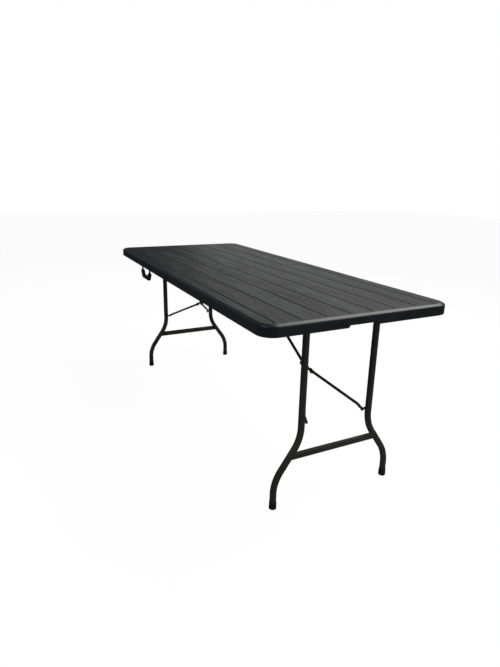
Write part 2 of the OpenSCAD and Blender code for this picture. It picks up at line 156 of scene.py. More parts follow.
class LegSizes(bpy.types.PropertyGroup):
    """Bent leg tubes, stretchers and foot caps."""

    radius: length_prop("Tube radius", "Radius of a leg tube", 12.5 * MM)
    half_top: length_prop("Half spread above", "Half of the distance between the legs above", 151 * MM)
    half_foot: length_prop("Half spread below", "Half of the distance between the feet", 257 * MM)
    bend_start: length_prop("Bend start", "Height at which a leg starts to bend", 305 * MM)
    bend_radius: length_prop("Bend radius", "Radius of a leg's bends", 150 * MM)
    bend_angle: angle_prop("Bend angle", "Angle of a leg's bends", 35)
    weld: length_prop("Weld bead", "Radius of a weld bead", 1.9 * MM)
    cap_lip: length_prop("Cap lip", "Round at the top of a foot cap", 1.2 * MM)


class BraceSizes(bpy.types.PropertyGroup):
    """Folding braces: strut, bent arms, locking sleeve and pins."""

    rod: length_prop("Rod radius", "Radius of a brace rod", 5.75 * MM)
    rod_end: length_prop("Rod end", "Straight end of a rod beside the leg", 22 * MM)
    plate_half: length_prop("Plate half thickness", "Half thickness of a rod's flattened end", 1.5 * MM)
    pin_head: length_prop("Pin head", "Radius of a pin's head", 4.5 * MM)
    pin_head_height: length_prop("Pin head height", "Height of a pin's head", 2 * MM)
    sleeve_wall: length_prop("Sleeve wall", "Wall of the locking sleeve", 1.6 * MM)


class FixingSizes(bpy.types.PropertyGroup):
    """Screws, hinge rivets and leg clips."""

    screws: IntProperty(name="Screws", description="Screws in a rail", default=5, min=1)
    screw_head: length_prop("Screw head", "Radius of a screw's head", 4.5 * MM)
    screw_head_height: length_prop("Screw head height", "Height of a screw's head", 2.5 * MM)
    rivet: length_prop("Rivet radius", "Radius of a rivet or pin", 3 * MM)
    rivet_head: length_prop("Rivet head", "Radius of a hinge rivet's head", 5.5 * MM)
    clip_lip: length_prop("Clip lip", "How far a clip's lips close in below the leg", 1 * MM)


class HandleSizes(bpy.types.PropertyGroup):
    """Carry handle in the front rim of the left half."""

    arm: length_prop("Arm radius", "Radius of the handle's arms", 4 * MM)
    grip: length_prop("Grip radius", "Radius of the grip", 9.9 * MM)
    span: length_prop("Span", "Distance between the arms", 132 * MM)
    elbow: length_prop("Elbow drop", "Drop from the pivot to the elbows", 28 * MM)
    drop: length_prop("Drop", "Drop from the pivot to the middle of the grip", 56 * MM)
    grip_half: length_prop("Grip half length", "Half of the grip's length", 48 * MM)


class FinishColours(bpy.types.PropertyGroup):
    """Colours of the finishes."""

    grain_light: colour_prop("Grain, light", "Raised grain of the planks", (0.039, 0.0405, 0.0435, 1))
    grain_dark: colour_prop("Grain, dark", "Hollows of the planks' grain", (0.004, 0.0042, 0.0046, 1))
    rim: colour_prop("Rim", "Smooth plastic of the rim", (0.014, 0.0155, 0.022, 1))
    steel_light: colour_prop("Coated steel, light", "Powder coat", (0.062, 0.057, 0.052, 1))
    steel_dark: colour_prop("Coated steel, dark", "Hollows of the powder coat", (0.038, 0.035, 0.032, 1))
    zinc: colour_prop("Zinc", "Zinc plate", (0.30, 0.31, 0.32, 1))
    plastic: colour_prop("Black plastic", "Clips, bushes and sleeves", (0.010, 0.010, 0.011, 1))
    rubber: colour_prop("Rubber", "Foot caps", (0.009, 0.008, 0.008, 1))


class StudioSettings(bpy.types.PropertyGroup):
    """Camera, lights and floor."""

    camera_place: FloatVectorProperty(
        name="Camera place",
        description="Where the camera stands",
        default=(2.1030, -1.0342, 1.1431),
        subtype="TRANSLATION",
    )
    azimuth: angle_prop("Azimuth", "Camera turn round the table", 62.9185)
    elevation: angle_prop("Elevation", "Camera tilt", 17.363)
    roll: angle_prop("Roll", "Camera roll", 1.1636)
    lens: number_prop("Lens", "Focal length in millimetres", 26.43, 200)
    key_power: number_prop("Overhead light", "Power of the soft light above, in watts", 42, 2000)
    end_power: number_prop("End light", "Power of the light off the right end, in watts", 10, 2000)
    front_power: number_prop("Front light", "Power of the light above the front, in watts", 11, 2000)
    back_power: number_prop("Back light", "Power of the light behind the left end, in watts", 13, 2000)
    ambient: number_prop("Ambient", "Brightness of the surrounding studio", 0.11, 4)


SETTINGS = {
    "table_top": TableTopSizes,
    "table_legs": LegSizes,
    "table_braces": BraceSizes,
    "table_fixings": FixingSizes,
    "table_handle": HandleSizes,
    "table_finishes": FinishColours,
    "table_studio": StudioSettings,
}


# ------------------------------------------------------------------ mesh helpers


def add_ring(bm, points):
    """Adds one ring of vertices."""
    return [bm.verts.new(p) for p in points]


def bridge(bm, rings, closed=False):
    """Joins rings with quads into a closed loop, or caps both ends and returns the last cap."""
    pairs = list(zip(rings, rings[1:]))
    if closed:
        pairs.append((rings[-1], rings[0]))
    count = len(rings[0])
    for a, b in pairs:
        for i in range(count):
            j = (i + 1) % count
            bm.faces.new((a[i], a[j], b[j], b[i]))
    if closed:
        return None
    bm.faces.new(list(reversed(rings[0])))
    return bm.faces.new(rings[-1])


def rounded_section(half_u, half_v, count, squareness=2.0):
    """Points of an ellipse that grows squarer as squareness rises above 2."""
    power = 2.0 / squareness
    points = []
    for i in range(count):
        a = 2 * math.pi * (i + 0.5) / count
        u = math.copysign(abs(math.cos(a)) ** power, math.cos(a))
        v = math.copysign(abs(math.sin(a)) ** power, math.sin(a))
        points.append((half_u * u, half_v * v))
    return points


def sweep(bm, path, side, sections):
    """Sweeps sections along a path in the plane at right angles to side."""
    rings = []
    for i, p in enumerate(path):
        before = path[max(i - 1, 0)]
        after = path[min(i + 1, len(path) - 1)]
        tangent = (after - before).normalized()
        other = tangent.cross(side)
        rings.append(add_ring(bm, [p + side * u + other * v for u, v in sections[i]]))
    bridge(bm, rings)


def rounded_path(corners, radius, steps):
    """A polyline whose inner corners are rounded to a radius."""
    path = [corners[0]]
    for a, b, c in zip(corners, corners[1:], corners[2:]):
        back = (a - b).normalized()
        ahead = (c - b).normalized()
        half_turn = (math.pi - back.angle(ahead)) / 2
        reach = radius * math.tan(half_turn)
        middle = (back + ahead).normalized()
        centre = b + middle * (radius / math.cos(half_turn))
        start = b + back * reach - centre
        axis = start.cross(b + ahead * reach - centre).normalized()
        for k in range(steps + 1):
            path.append(centre + Matrix.Rotation(2 * half_turn * k / steps, 3, axis) @ start)
    path.append(corners[-1])
    return path


def lathe(bm, profile, centre, axis, count):
    """Turns a profile of (radius, distance along the axis) pairs about an axis."""
    first = axis.orthogonal().normalized()
    second = axis.cross(first)
    rings = []
    for r, h in profile:
        ring = []
        for i in range(count):
            a = 2 * math.pi * i / count
            ring.append(centre + axis * h + (first * math.cos(a) + second * math.sin(a)) * r)
        rings.append(add_ring(bm, ring))
    bridge(bm, rings)


def arc(centre_r, centre_h, radius, start, end, steps, rise=None):
    """Points of an arc between two angles in degrees, elliptical where rise is given."""
    points = []
    for k in range(steps + 1):
        a = math.radians(start + (end - start) * k / steps)
        points.append((centre_r + radius * math.cos(a), centre_h + (rise or radius) * math.sin(a)))
    return points


def add_box(bm, low, high, rounding=0.0):
    """A box, with all its edges rounded where a rounding is given."""
    made = bmesh.ops.create_cube(bm, size=1.0)["verts"]
    low, high = Vector(low), Vector(high)
    for v in made:
        v.co = Vector([(low[k] + high[k]) / 2 + v.co[k] * (high[k] - low[k]) for k in range(3)])
    if rounding > 0:
        edges = list({e for v in made for e in v.link_edges})
        bmesh.ops.bevel(bm, geom=edges, offset=rounding, segments=3, profile=0.5, affect="EDGES")


def mirrored(bm, axis):
    """Mirrors a mesh along an axis and turns its faces back out."""
    for v in bm.verts:
        v.co[axis] = -v.co[axis]
    bmesh.ops.reverse_faces(bm, faces=bm.faces)


def object_from(bm, name, materials=()):
    """Makes an object from a bmesh, with normals pointing out."""
    bmesh.ops.recalc_face_normals(bm, faces=bm.faces)
    mesh = bpy.data.meshes.new(name)
    bm.to_mesh(mesh)
    bm.free()
    for m in materials:
        mesh.materials.append(m)
    piece = bpy.data.objects.new(name, mesh)
    bpy.context.scene.collection.objects.link(piece)
    return piece


def apply_modifiers(piece):
    """Replaces an object's mesh by the one its modifiers make."""
    graph = bpy.context.evaluated_depsgraph_get()
    made = bpy.data.meshes.new_from_object(
        piece.evaluated_get(graph), preserve_all_data_layers=True, depsgraph=graph
    )
    old = piece.data
    piece.modifiers.clear()
    piece.data = made
    made.name = piece.name
    bpy.data.meshes.remove(old)


def combine(piece, bm, operation):
    """Cuts a bmesh out of an object, or joins it on, with an exact Boolean."""
    tool = object_from(bm, "tool", piece.data.materials)
    cut = piece.modifiers.new("combine", "BOOLEAN")
    cut.operation = operation
    cut.solver = "EXACT"
    cut.object = tool
    apply_modifiers(piece)
    mesh = tool.data
    bpy.data.objects.remove(tool)
    bpy.data.meshes.remove(mesh)


def smooth(piece):
    """Smooth shading with crisp edges, and flat faces that stay flat."""
    mesh = piece.data
    mesh.shade_smooth()
    mesh.set_sharp_from_angle(angle=SMOOTH_LIMIT)
    weighted = piece.modifiers.new("weighted", "WEIGHTED_NORMAL")
    weighted.keep_sharp = True
    apply_modifiers(piece)


FINISH_OF_SLOT = {
    "coated_steel": "coated_steel",
    "black_plastic": "black_plastic",
    "handle_plastic": "black_plastic",
    "foot_rubber": "foot_rubber",
    "zinc_fixings": "zinc",
}


def add_piece(bm, node, ending, body, slot):
    """Makes the finished piece that stands for a CAD node and is named after it."""
    piece = object_from(bm, f"{node}_{ending}", [finish(FINISH_OF_SLOT[slot])])
    smooth(piece)
    declare(piece, body, [node])


def declare(piece, body, nodes):
    """Says which body a piece rides on, and hides the CAD nodes that it stands for."""
    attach(piece, body)
    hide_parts(*nodes)


# ------------------------------------------------------------------ materials


def new_material(name):
    """A material with its node tree, its Principled shader and a source of object coordinates."""
    material = bpy.data.materials.get(name)
    if material:
        return material, None, None, None
    material = bpy.data.materials.new(name)
    material.use_nodes = True
    nodes = material.node_tree.nodes
    shader = nodes["Principled BSDF"]
    place = nodes.new("ShaderNodeTexCoord").outputs["Object"]
    return material, material.node_tree, shader, place


def set_input(tree, socket, value):
    """Links a socket to an input, or gives the input a number or a colour."""
    if isinstance(value, bpy.types.NodeSocket):
        tree.links.new(value, socket)
    else:
        socket.default_value = value


def add_node(tree, kind, **inputs):
    """A shader node; in the names of its inputs an underscore stands for a space."""
    node = tree.nodes.new(f"ShaderNode{kind}")
    for name, value in inputs.items():
        set_input(tree, node.inputs[name.replace("_", " ")], value)
    return node


def math_node(tree, operation, *values):
    """The result of a Math node."""
    node = add_node(tree, "Math")
    node.operation = operation
    for socket, value in zip(node.inputs, values):
        set_input(tree, socket, value)
    return node.outputs[0]


def noise(tree, place, scale, detail=4.0, roughness=0.55, stretch=(1, 1, 1), distortion=0.0):
    """Noise at a scale, stretched along the axes."""
    mapping = add_node(tree, "Mapping", Scale=stretch, Vector=place)
    node = add_node(tree, "TexNoise", Scale=scale, Detail=detail, Roughness=roughness)
    node.inputs["Distortion"].default_value = distortion
    tree.links.new(mapping.outputs["Vector"], node.inputs["Vector"])
    return node.outputs["Fac"]


def ramp(tree, factor, stops):
    """A colour ramp over (position, colour) stops."""
    node = add_node(tree, "ValToRGB", Fac=factor)
    elements = node.color_ramp.elements
    while len(elements) < len(stops):
        elements.new(0.5)
    for element, (position, colour) in zip(elements, stops):
        element.position = position
        element.color = colour
    return node.outputs["Color"]


def spread(tree, factor, low, high, to_low, to_high):
    """Maps a factor from one range to another."""
    node = add_node(tree, "MapRange", Value=factor, From_Min=low, From_Max=high)
    node.inputs["To Min"].default_value = to_low
    node.inputs["To Max"].default_value = to_high
    return node.outputs["Result"]


def bump(tree, height, strength, distance, normal=None):
    """A bump from a height, on top of another where one is given."""
    node = add_node(tree, "Bump", Strength=strength, Distance=distance, Height=height)
    if normal:
        tree.links.new(normal, node.inputs["Normal"])
    return node.outputs["Normal"]


def plank_grain(colours, top):
    """Charcoal plastic moulded as planks: long streaks that differ from plank to plank."""
    material, tree, shader, place = new_material("plank_grain")
    if tree is None:
        return material
    plank_slide = 9.0
    plank_contrast = 0.10
    fibre_share = 0.45
    wave_share = 0.5
    tone_range = (0.88, 1.17)
    height_range = (0.7, 1.3)
    roughness_range = (0.62, 0.46)
    bump_strength = 0.85
    bump_depth = 0.9 * MM
    specular = 0.36
    split = add_node(tree, "SeparateXYZ", Vector=place)
    offset = top.groove_shift + top.groove_count * top.groove_pitch
    if top.groove_count % 2 == 0:
        offset += top.groove_pitch / 2
    shifted = math_node(tree, "ADD", split.outputs["Y"], offset)
    plank = math_node(tree, "FLOOR", math_node(tree, "DIVIDE", shifted, top.groove_pitch), 0.0)
    chance = add_node(tree, "TexWhiteNoise")
    chance.noise_dimensions = "1D"
    tree.links.new(plank, chance.inputs["W"])
    slide = math_node(tree, "MULTIPLY_ADD", chance.outputs["Value"], plank_slide, split.outputs["X"])
    join = add_node(tree, "CombineXYZ", X=slide, Y=split.outputs["Y"], Z=plank)
    # Noise scale, detail, roughness, stretch along the axes and distortion
    streaks = noise(tree, join.outputs["Vector"], 9.0, 7.0, 0.72, (1, 22, 3), 0.6)
    fibres = noise(tree, join.outputs["Vector"], 60.0, 3.0, 0.6, (0.35, 13, 3))
    waves = noise(tree, join.outputs["Vector"], 2.2, 2.0, 0.5, (1, 7, 3), 1.2)
    fine = math_node(tree, "MULTIPLY_ADD", fibres, fibre_share, streaks)
    height = math_node(tree, "MULTIPLY_ADD", waves, wave_share, fine)
    tone = math_node(tree, "MULTIPLY_ADD", chance.outputs["Value"], plank_contrast, height)
    share = spread(tree, tone, *tone_range, 0, 1)
    colour = ramp(tree, share, [(0.0, colours.grain_dark), (1.0, colours.grain_light)])
    tree.links.new(colour, shader.inputs["Base Color"])
    tree.links.new(spread(tree, height, *height_range, *roughness_range), shader.inputs["Roughness"])
    tree.links.new(bump(tree, height, bump_strength, bump_depth), shader.inputs["Normal"])
    shader.inputs["Specular IOR Level"].default_value = specular
    return material


def plain_finish(name, dark, light, roughness, texture, depth, metallic=0.0, patch=14.0):
    """A finish with soft patches of two tones and a fine moulded or sprayed texture."""
    material, tree, shader, place = new_material(name)
    if tree is None:
        return material
    patches = noise(tree, place, patch, 5.0, 0.6)
    tree.links.new(ramp(tree, patches, [(0.36, dark), (0.64, light)]), shader.inputs["Base Color"])
    low, high = roughness
    tree.links.new(spread(tree, patches, 0.35, 0.65, low, high), shader.inputs["Roughness"])
    grain = noise(tree, place, texture, 3.0, 0.5)
    wide = noise(tree, place, texture / 9, 2.0, 0.5)
    first = bump(tree, wide, 0.35, depth * 3)
    tree.links.new(bump(tree, grain, 0.6, depth, first), shader.inputs["Normal"])
    shader.inputs["Metallic"].default_value = metallic
    return material


def lighter(colour, factor):
    """A colour made lighter, or darker with a factor below 1."""
    return (*[min(1.0, c * factor) for c in tuple(colour)[:3]], 1.0)


def finish(name):
    """The material of a finish, made on first use."""
    scene = bpy.context.scene
    colours = scene.table_finishes
    if name == "plank_grain":
        return plank_grain(colours, scene.table_top)
    rim, zinc, plastic, rubber = colours.rim, colours.zinc, colours.plastic, colours.rubber
    steel = (colours.steel_dark, colours.steel_light)
    # Material, dark and light tone, roughness, texture scale and depth, metallic, patch scale
    plain = {
        "rim_plastic": (name, rim, lighter(rim, 1.25), (0.30, 0.38), 1500, 0.06 * MM),
        "coated_steel": ("powder_coat", *steel, (0.26, 0.38), 1100, 0.09 * MM),
        "zinc": (name, lighter(zinc, 0.75), zinc, (0.26, 0.42), 700, 0.03 * MM, 1.0, 90),
        "black_plastic": ("matt_plastic", plastic, lighter(plastic, 1.4), (0.42, 0.55), 1700, 0.05 * MM),
        "foot_rubber": ("cap_rubber", rubber, lighter(rubber, 1.7), (0.66, 0.82), 800, 0.10 * MM),
    }
    return plain_finish(*plain[name])


# ------------------------------------------------------------------ moulded top


def half_outline(top, inset, seam_x, steps=10):
    """Plan of one half, drawn in by inset on its three outer sides."""
    r = top.corner - inset
    centre_x = top.half_length - top.corner
    centre_y = top.half_width - top.corner
    points = [(seam_x, -(top.half_width - inset))]
    for sign, start in ((-1, -90), (1, 0)):
        points += arc(centre_x, sign * centre_y, r, start, start + 90, steps)
    points.append((seam_x, top.half_width - inset))
    return points


def loft_half(bm, top, levels, cap_material=0):
    """A solid whose plan at each (inset, height, seam edge) level is one half's outline."""
    rings = [add_ring(bm, [(x, y, z) for x, y in half_outline(top, i, s)]) for i, z, s in levels]
    bridge(bm, rings).material_index = cap_material


def top_edge(top):
    """Profile of the top edge as (inset, height): a round, the flat bevel and another round."""
    r = top.edge_round
    tilt = top.edge_tilt
    turned = math.degrees(tilt)
    low_round = arc(r, 0, r, 180, 90 + turned, 5)
    inset, z = low_round[-1]
    inset += top.edge_slope * math.cos(tilt)
    z += top.edge_slope * math.sin(tilt)
    high_round = arc(inset + r * math.sin(tilt), z - r * math.cos(tilt), r, 90 + turned, 90, 3)
    rise = high_round[-1][1]
    return [(i, top.height + h - rise) for i, h in low_round + high_round]


def top_block(top, seam_x):
    """The outside of one half, with its rounded edges."""
    bm = bmesh.new()
    r = top.foot_round
    levels = [(inset, z, seam_x) for inset, z in arc(r, top.rim_low + r, r, 270, 180, 4)]
    edge = top_edge(top)
    full = edge[-1][0]
    levels += [(inset, z, seam_x + inset / full * top.seam_round) for inset, z in edge]
    loft_half(bm, top, levels, cap_material=1)
    return bm


def stowage_hollow(top):
    """The open space under the plate: a hollow with a rounded mouth and ceiling."""
    bm = bmesh.new()
    seam_x = -10 * MM
    ceiling = top.height - top.plate
    r = top.foot_round * 0.7
    levels = [(top.rim_width - r, top.rim_low - MM, seam_x)]
    levels += [(i, z, seam_x) for i, z in arc(top.rim_width - r, top.rim_low + r, r, 270, 360, 4)]
    levels += [(i, z, seam_x) for i, z in arc(top.rim_width + r, ceiling - r, r, 180, 90, 4)]
    loft_half(bm, top, levels)
    return bm


def plank_grooves(top):
    """The grooves between the planks, each with a softened lip and tapered ends."""
    bm = bmesh.new()
    w = top.groove_half
    d = top.groove_depth
    z = top.height
    half = [(w * 1.5, 0.45 * d), (w * 1.06, 0.04 * d)]
    half += [(0.70 * w, -0.22 * d), (0.46 * w, -0.8 * d), (0.18 * w, -d)]
    section = half + [(-y, h) for y, h in reversed(half)]
    taper = 9 * MM
    start = 8 * MM
    end = top.half_length - top.groove_end
    for k in range(top.groove_count):
        y0 = (k - (top.groove_count - 1) / 2) * top.groove_pitch - top.groove_shift
        rings = []
        for x, lift in ((start, d * 1.2), (start + taper, 0), (end - taper, 0), (end, d * 1.2)):
            rings.append(add_ring(bm, [(x, y0 + y, z + h + lift) for y, h in section]))
        bridge(bm, rings)
    return bm


def underside_dimples(top, channel_end):
    """Moulded dimples, where the plate's two skins meet, and the blow hole."""
    bm = bmesh.new()
    ceiling = top.height - top.plate
    r = top.dimple_radius
    profile = [(r * 1.15, -MM), (r, 0), (r * 0.86, top.dimple_depth * 0.4)]
    profile += [(r * 0.66, top.dimple_depth * 0.9), (r * 0.52, top.dimple_depth)]
    columns = 8
    rows = 7
    pitch_x = (top.half_length - 160 * MM) / (columns - 1)
    pitch_y = (top.half_width - top.rim_width - 30 * MM) / (rows / 2)
    for i in range(columns):
        for j in range(rows):
            x = 90 * MM + i * pitch_x
            y = (j - (rows - 1) / 2) * pitch_y
            if abs(y) > r or x > channel_end + 2 * r:
                lathe(bm, profile, Vector((x, y, ceiling)), UP, 24)
    hole = Vector((top.half_length * 0.6, top.half_width * 0.52, ceiling))
    lathe(bm, [(4 * MM, -MM), (4 * MM, 3 * MM)], hole, UP, 24)
    return bm


def seam_corner(top, hinge_z, hinge_x, seam_x):
    """What is cut off the long rims at the seam, so that the halves roll past each other."""
    bm = bmesh.new()
    r = hinge_x - seam_x
    out = 2 * MM
    below = top.rim_low - out
    round_part = arc(hinge_x, hinge_z, r, 270, 180, 10)
    section = [(hinge_x, below)] + round_part + [(-out, hinge_z), (-out, below)]
    reach = top.half_width + out
    rings = [add_ring(bm, [(x, y, z) for x, z in section]) for y in (-reach, reach)]
    bridge(bm, rings)
    return bm


def end_notch(top):
    """Cutter for the finger notch under the end of the rim, with sloping sides."""
    bm = bmesh.new()
    wide = top.notch_width / 2 + top.notch_slope
    narrow = top.notch_width / 2 - top.notch_slope
    deep = top.notch_height
    section = [(-wide, -deep), (wide, -deep), (narrow, deep - MM), (narrow - MM, deep)]
    section += [(MM - narrow, deep), (-narrow, deep - MM)]
    rings = []
    for x in (top.half_length - top.rim_width - 2 * MM, top.half_length + 2 * MM):
        rings.append(add_ring(bm, [(x, top.notch_middle + y, top.rim_low + z) for y, z in section]))
    bridge(bm, rings)
    return bm


def make_top(side):
    """One half of the moulded top."""
    top = bpy.context.scene.table_top
    braces = joint(f"{side}_strut_swing")["pos_m"]
    hinge = joint("centre_fold_right_pin")["pos_m"]
    seam_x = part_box("right_top_panel")[0].x
    ceiling = top.height - top.plate
    wall_thick = 8 * MM
    wall_gap = 23 * MM
    channel_start = abs(braces[0]) - 15 * MM
    channel_end = 659 * MM
    channel_half = 20 * MM
    channel_roof = braces[2] + 12.5 * MM
    finishes = (finish("rim_plastic"), finish("plank_grain"))
    piece = object_from(top_block(top, seam_x), f"{side}_moulded_top", finishes)
    combine(piece, stowage_hollow(top), "DIFFERENCE")
    wall = bmesh.new()
    wall_half = top.half_width - top.rim_width - wall_gap
    wall_low = (seam_x, -wall_half, hinge[2] + MM)
    add_box(wall, wall_low, (seam_x + wall_thick, wall_half, ceiling + MM), 0.6 * MM)
    combine(piece, wall, "UNION")
    channel = bmesh.new()
    channel_low = (channel_start, -channel_half, ceiling - 2 * MM)
    add_box(channel, channel_low, (channel_end, channel_half, channel_roof), 1.2 * MM)
    cutters = [channel, seam_corner(top, hinge[2], hinge[0], seam_x), end_notch(top)]
    if side == "left":
        cutters.append(handle_slots(top))
    cutters += [underside_dimples(top, channel_end), plank_grooves(top)]
    for cutter in cutters:
        combine(piece, cutter, "DIFFERENCE")
    if side == "left":
        piece.data.transform(Matrix.Scale(-1, 4, ALONG))
        piece.data.flip_normals()
    smooth(piece)
    declare(piece, f"{side}_top", [f"{side}_top_panel"])


def handle_slots(top):
    """Slots in the front rim for the handle's arms."""
    handle = bpy.context.scene.table_handle
    pivot = joint("handle_swing")["pos_m"]
    bm = bmesh.new()
    half = handle.arm + MM
    for s in (-1, 1):
        x = abs(pivot[0]) + s * handle.span / 2
        low = (x - half, -top.half_width - 2 * MM, top.rim_low - 2 * MM)
        high = (x + half, -(top.half_width - top.rim_width) + MM, pivot[2] + 6.5 * MM)
        add_box(bm, low, high)
    return bm


# ------------------------------------------------------------------ leg frames


def leg_axis(legs, z_top, z_low):
    """Corner points of a rear leg's axis in the table's YZ plane."""
    x = joint("right_leg_fold")["pos_m"][0]
    tangent = legs.bend_radius * math.tan(legs.bend_angle / 2)
    knee = legs.bend_start - tangent
    run = (legs.half_foot - legs.half_top) / math.tan(legs.bend_angle)
    return [
        Vector((x, legs.half_top, z_top)),
        Vector((x, legs.half_top, knee)),
        Vector((x, legs.half_foot, knee - run)),
        Vector((x, legs.half_foot, z_low)),
    ]


def make_leg(side, end):
    """One bent leg tube, closed by a pressed-in top and standing in its foot cap."""
    legs = bpy.context.scene.table_legs
    node = f"{side}_{end}_leg"
    low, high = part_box(node)
    corners = leg_axis(legs, high.z, low.z)
    path = rounded_path(corners, legs.bend_radius, 18)
    press = 2 * MM
    path = [path[0], path[0] - UP * press * 0.35, path[0] - UP * press] + path[1:]
    sections = [rounded_section(legs.radius, legs.radius, 40) for _ in path]
    sections[0] = rounded_section(legs.radius - press, legs.radius - press, 40)
    sections[1] = rounded_section(legs.radius - press * 0.3, legs.radius - press * 0.3, 40)
    bm = bmesh.new()
    sweep(bm, path, ALONG, sections)
    place_on(bm, side, end)
    add_piece(bm, node, "tube", f"{side}_leg_frame", "coated_steel")


def place_on(bm, side, end="rear"):
    """Mirrors what was drawn as the right rear piece to its side and end."""
    if end == "front":
        mirrored(bm, 1)
    if side == "left":
        mirrored(bm, 0)


def make_foot(side, end):
    """One rubber foot cap with a rounded sole, a moulded ring and a soft lip."""
    legs = bpy.context.scene.table_legs
    node = f"{side}_{end}_foot"
    low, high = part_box(node)
    r = (high.x - low.x) / 2
    h = high.z - low.z
    lip = legs.cap_lip
    profile = [(r * 0.3, 0.0), (r - 2.5 * MM, 0.0)]
    profile += arc(r - 2.4 * MM, 2.4 * MM, 2.4 * MM, -75, 0, 5)
    profile += [(r - 0.35 * MM, h * 0.70), (r - 1.0 * MM, h * 0.73)]
    profile += [(r - 1.0 * MM, h * 0.77), (r - 0.4 * MM, h * 0.80)]
    profile += arc(r - 0.4 * MM - lip, h - lip, lip, 0, 90, 4)
    profile += [(legs.radius - 0.3 * MM, h - 0.6 * MM), (legs.radius - 0.3 * MM, h * 0.6)]
    bm = bmesh.new()
    middle = box_middle(node)
    lathe(bm, profile, Vector((middle.x, middle.y, low.z)), UP, 48)
    add_piece(bm, node, "cap", f"{side}_leg_frame", "foot_rubber")


def leg_y_at(corners, z):
    """Distance of the leg's axis from the middle at a height on its slanting stretch."""
    upper, lower = corners[1], corners[2]
    t = (upper.z - z) / (upper.z - lower.z)
    return upper.y + (lower.y - upper.y) * t


def weld_bead(bm, legs, corners, low, high):
    """A rippled bead round the place where the stretcher meets a leg."""
    count = 64
    ripple = 17
    half_x = (high.x - low.x) / 2
    half_z = (high.z - low.z) / 2
    middle = (low + high) / 2
    rings = []
    for i in range(count):
        a = 2 * math.pi * i / count
        dz = half_z * math.sin(a)
        dx = half_x * math.cos(a)
        x = middle.x + dx
        z = middle.z + dz
        off = min(abs(x - corners[1].x), legs.radius * 0.98)
        chord = math.sqrt(legs.radius**2 - off**2) / math.cos(legs.bend_angle)
        y = leg_y_at(corners, z) - chord
        r = legs.weld * (1 + 0.16 * math.sin(ripple * a))
        out = Vector((math.cos(a), 0, math.sin(a)))
        spot = Vector((x, y, z)) - out * legs.weld * 0.3
        ring = []
        for k in range(8):
            b = 2 * math.pi * k / 8
            ring.append(spot + out * math.cos(b) * r + ACROSS * math.sin(b) * r)
        rings.append(add_ring(bm, ring))
    bridge(bm, rings, closed=True)


def make_stretcher(side):
    """The flat-oval stretcher, welded between the slanting stretches of the legs."""
    legs = bpy.context.scene.table_legs
    node = f"{side}_stretcher"
    low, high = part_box("right_stretcher")
    middle = (low + high) / 2
    half_x = (high.x - low.x) / 2
    half_z = (high.z - low.z) / 2
    corners = leg_axis(legs, 1.0, 0.0)
    straight = half_z - half_x
    section = [(u, v + straight) for u, v in arc(0, 0, half_x, 0, 180, 10)]
    section += [(u, v - straight) for u, v in arc(0, 0, half_x, 180, 360, 10)]
    bm = bmesh.new()
    rings = []
    for s in (-1, 1):
        ring = []
        for u, v in section:
            reach = leg_y_at(corners, middle.z + v) - legs.radius * 0.35
            ring.append((middle.x + u, s * reach, middle.z + v))
        rings.append(add_ring(bm, ring))
    bridge(bm, rings)
    beads = bmesh.new()
    weld_bead(beads, legs, corners, low, high)
    spare = bpy.data.meshes.new("bead")
    for _ in range(2):
        beads.to_mesh(spare)
        bm.from_mesh(spare)
        mirrored(beads, 1)
    beads.free()
    bpy.data.meshes.remove(spare)
    place_on(bm, side)
    add_piece(bm, node, "bar", f"{side}_leg_frame", "coated_steel")


# ------------------------------------------------------------------ braces


def brace_line():
    """Strut pivot, knuckle, the direction from one to the other and the one square to it."""
    pivot = Vector(joint("right_strut_swing")["pos_m"])
    knuckle = Vector(joint("right_knuckle")["pos_m"])
    line = (knuckle - pivot).normalized()
    return pivot, knuckle, line, line.cross(ACROSS)


def make_strut(side):
    """The strut tube, drawn out to an eye at each end."""
    pivot, knuckle, line, normal = brace_line()
    low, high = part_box("right_strut")
    r = (high.y - low.y) / 2
    eye = r + 0.4 * MM
    length = (knuckle - pivot).length
    stations = []
    for k in range(7):
        a = math.radians(78 - 13 * k)
        stations.append((-eye * math.sin(a), r - 0.3 * MM, max(eye * math.cos(a), 1.2 * MM)))
    stations += [(10 * MM, r - 0.1 * MM, r + 0.1 * MM), (18 * MM, r, r)]
    stations += [(length - s, u, v) for s, u, v in reversed(stations)]
    path = [pivot + line * s for s, _, _ in stations]
    sections = [rounded_section(v, u, 28) for _, u, v in stations]
    bm = bmesh.new()
    sweep(bm, path, normal, sections)
    place_on(bm, side)
    add_piece(bm, f"{side}_strut", "tube", f"{side}_strut_tube", "coated_steel")


